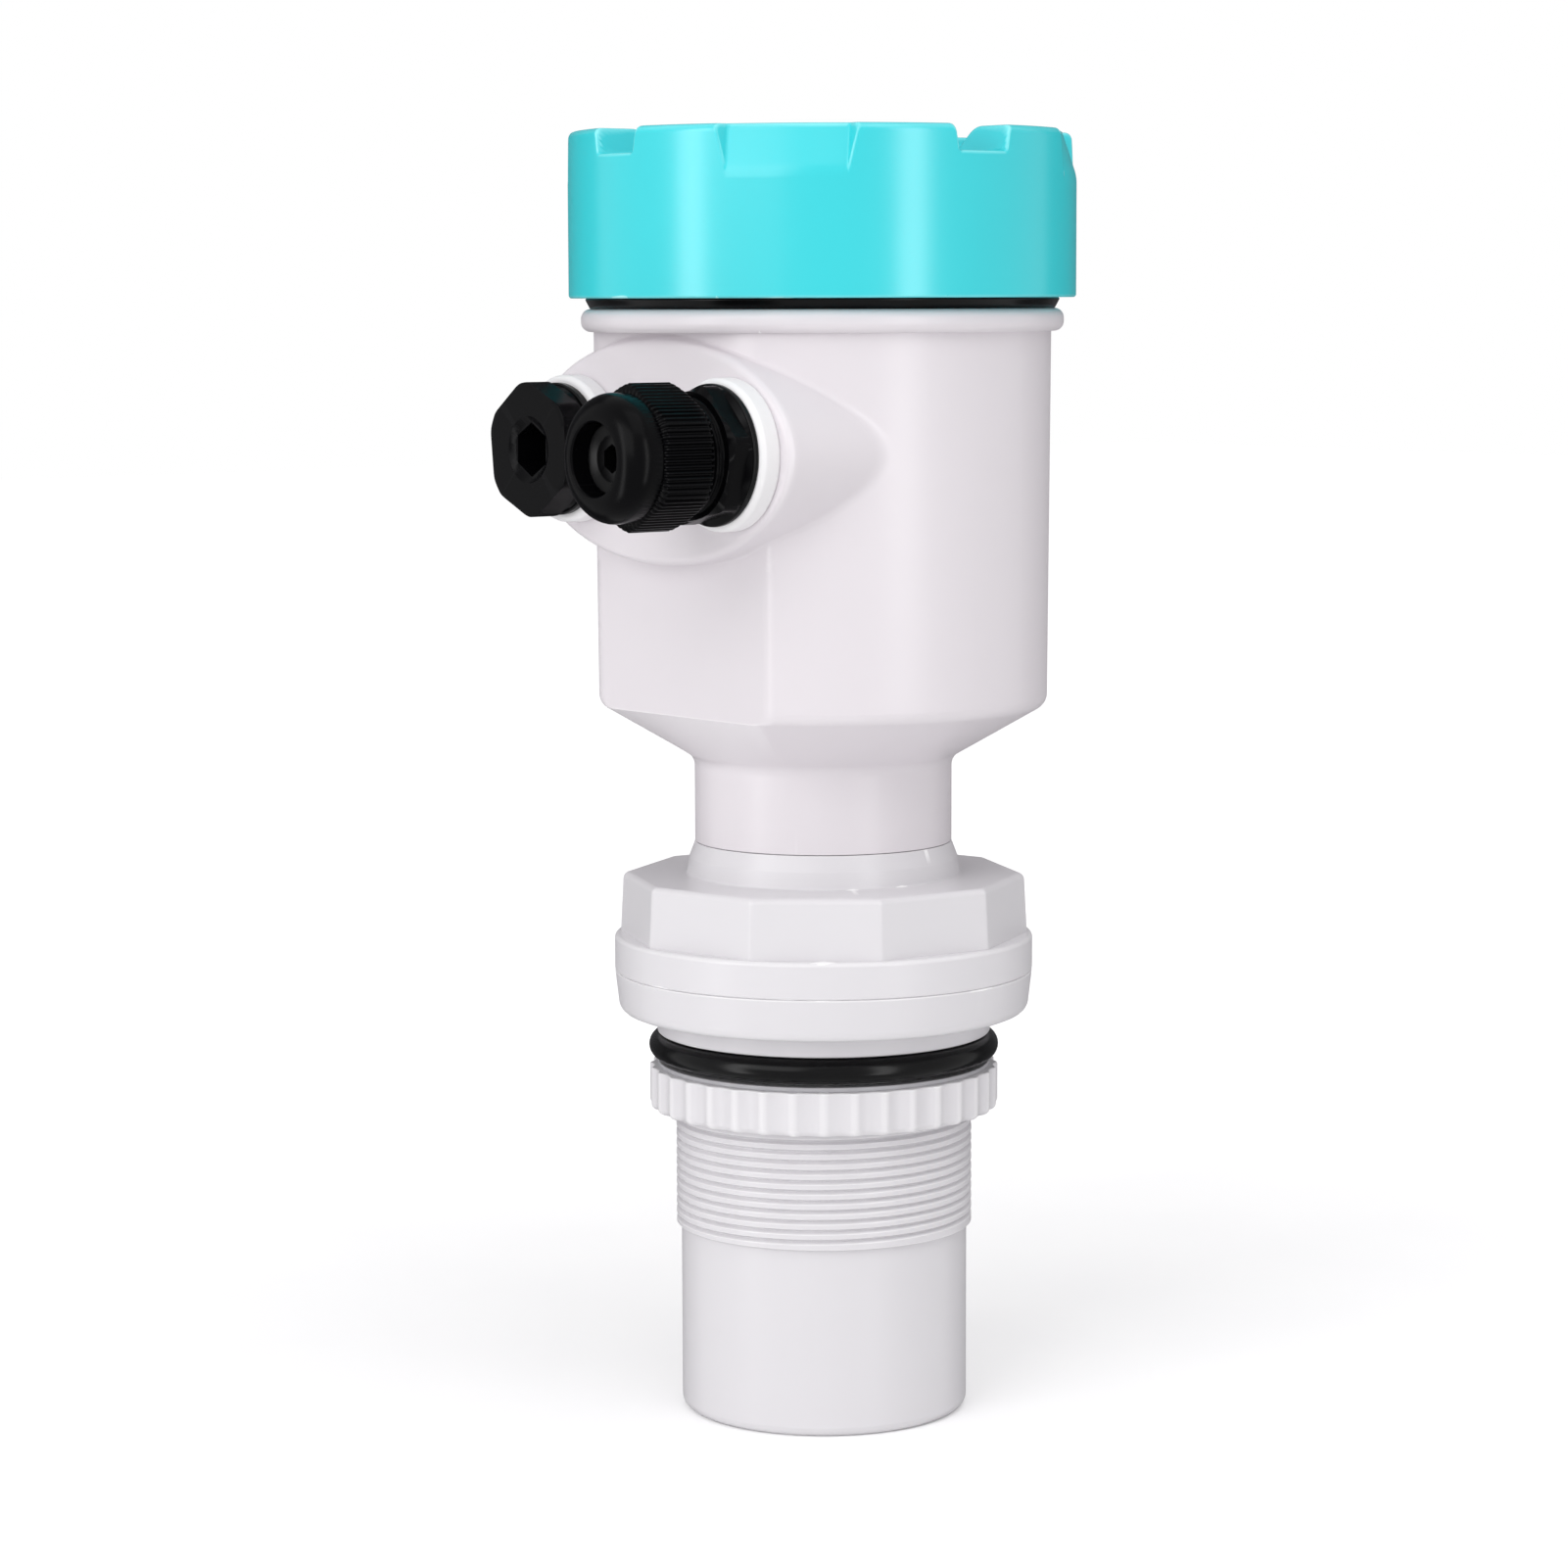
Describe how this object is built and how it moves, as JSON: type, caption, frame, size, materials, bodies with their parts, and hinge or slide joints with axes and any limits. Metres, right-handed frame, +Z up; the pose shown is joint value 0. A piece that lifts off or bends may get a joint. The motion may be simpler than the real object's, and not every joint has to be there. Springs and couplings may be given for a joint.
{
  "type": "radar level transmitter",
  "caption": "Compact radar level transmitter: round head with a turquoise screw lid, cable gland and blanking plug, on a grip collar and a threaded sensor tube with O-ring and ring nut.",
  "frame": {"origin": "centre of the sensor's flat bottom face", "axes": "+Z up the axis from the sensor to the lid, -Y towards the two cable entries, the gland on the +X side"},
  "size_m": [0.1008, 0.1266, 0.2572],
  "materials": {
    "lid_turquoise": "moulded, satin",
    "housing_grey": "moulded, satin",
    "bushing_white": "moulded, satin",
    "washer_grey": "smooth",
    "nylon_black": "moulded, slight gloss",
    "rubber_black": "smooth",
    "board_green": "solder mask",
    "potting_black": "potted",
    "terminal_green": "moulded",
    "screw_steel": "plated",
    "standoff_brass": "turned",
    "horn_aluminium": "turned",
    "lens_white": "turned",
    "bezel_grey": "moulded",
    "lcd_glass": "glossy",
    "window_clear": "clear",
    "key_grey": "soft",
    "ribbon_grey": "flexible"
  },
  "bodies": {
    "root": {"housing": "housing_grey", "gland_bushing": "bushing_white", "plug_bushing": "bushing_white", "gland_gasket": "rubber_black", "gland_body": "nylon_black", "process_collar": "housing_grey", "neck_oring": "rubber_black", "collar_gasket": "rubber_black", "sensor_body": "housing_grey", "mounting_oring": "rubber_black", "radar_board": "board_green", "antenna_horn": "horn_aluminium", "antenna_lens": "lens_white", "signal_ribbon": "ribbon_grey", "electronics_cup": "potting_black", "cup_screws": "screw_steel", "terminal_block": "terminal_green", "terminal_screws": "screw_steel", "display_standoffs": "standoff_brass", "display_board": "board_green", "display_frame": "bezel_grey", "lcd_panel": "lcd_glass", "display_window": "window_clear"},
    "lid_seal": {"lid_seal": "rubber_black"},
    "lid": {"lid": "lid_turquoise"},
    "slip_washer": {"slip_washer": "washer_grey"},
    "ring_nut": {"ring_nut": "housing_grey"},
    "gland_seal": {"gland_seal": "rubber_black"},
    "gland_nut": {"gland_nut": "nylon_black"},
    "plug_gasket": {"plug_gasket": "rubber_black"},
    "blank_plug": {"blank_plug": "nylon_black"},
    "key_1": {"key_1": "key_grey"},
    "key_2": {"key_2": "key_grey"},
    "key_3": {"key_3": "key_grey"},
    "key_4": {"key_4": "key_grey"}
  },
  "joints": [
    {"name": "lid_lift", "type": "slide", "parent": "root", "child": "lid_seal", "axis": [0, 0, 1], "range_m": [0, 0.012]},
    {"name": "lid_turn", "type": "hinge", "parent": "lid_seal", "child": "lid", "pos_m": [0, 0, 0.2306], "axis": [0, 0, 1], "range_deg": [0, 1440]},
    {"name": "nut_travel", "type": "slide", "parent": "root", "child": "slip_washer", "axis": [0, 0, -1], "range_m": [-0.0005, 0.022]},
    {"name": "nut_turn", "type": "hinge", "parent": "slip_washer", "child": "ring_nut", "pos_m": [0, 0, 0.0657], "axis": [0, 0, -1], "range_deg": [-90, 3960]},
    {"name": "gland_seal_travel", "type": "slide", "parent": "root", "child": "gland_seal", "axis": [0, -1, 0], "range_m": [-0.0015, 0.009]},
    {"name": "gland_nut_turn", "type": "hinge", "parent": "gland_seal", "child": "gland_nut", "pos_m": [0.02415, -0.062, 0.1952], "axis": [0, -1, 0], "range_deg": [-360, 2160]},
    {"name": "plug_travel", "type": "slide", "parent": "root", "child": "plug_gasket", "axis": [0, -1, 0], "range_m": [0, 0.009]},
    {"name": "plug_turn", "type": "hinge", "parent": "plug_gasket", "child": "blank_plug", "pos_m": [-0.02415, -0.05, 0.1952], "axis": [0, -1, 0], "range_deg": [0, 2160]},
    {"name": "key_1_press", "type": "slide", "parent": "root", "child": "key_1", "axis": [0, 0, -1], "range_m": [0, 0.0008], "stiffness_N_per_m": 400},
    {"name": "key_2_press", "type": "slide", "parent": "root", "child": "key_2", "axis": [0, 0, -1], "range_m": [0, 0.0008], "stiffness_N_per_m": 400},
    {"name": "key_3_press", "type": "slide", "parent": "root", "child": "key_3", "axis": [0, 0, -1], "range_m": [0, 0.0008], "stiffness_N_per_m": 400},
    {"name": "key_4_press", "type": "slide", "parent": "root", "child": "key_4", "axis": [0, 0, -1], "range_m": [0, 0.0008], "stiffness_N_per_m": 400}
  ],
  "couplings": [
    {"joint": "lid_lift", "follows": "lid_turn", "m_per_rad": 0.00047746},
    {"joint": "nut_travel", "follows": "nut_turn", "m_per_rad": 0.00031831},
    {"joint": "gland_seal_travel", "follows": "gland_nut_turn", "m_per_rad": 0.00023873},
    {"joint": "plug_travel", "follows": "plug_turn", "m_per_rad": 0.00023873}
  ]
}
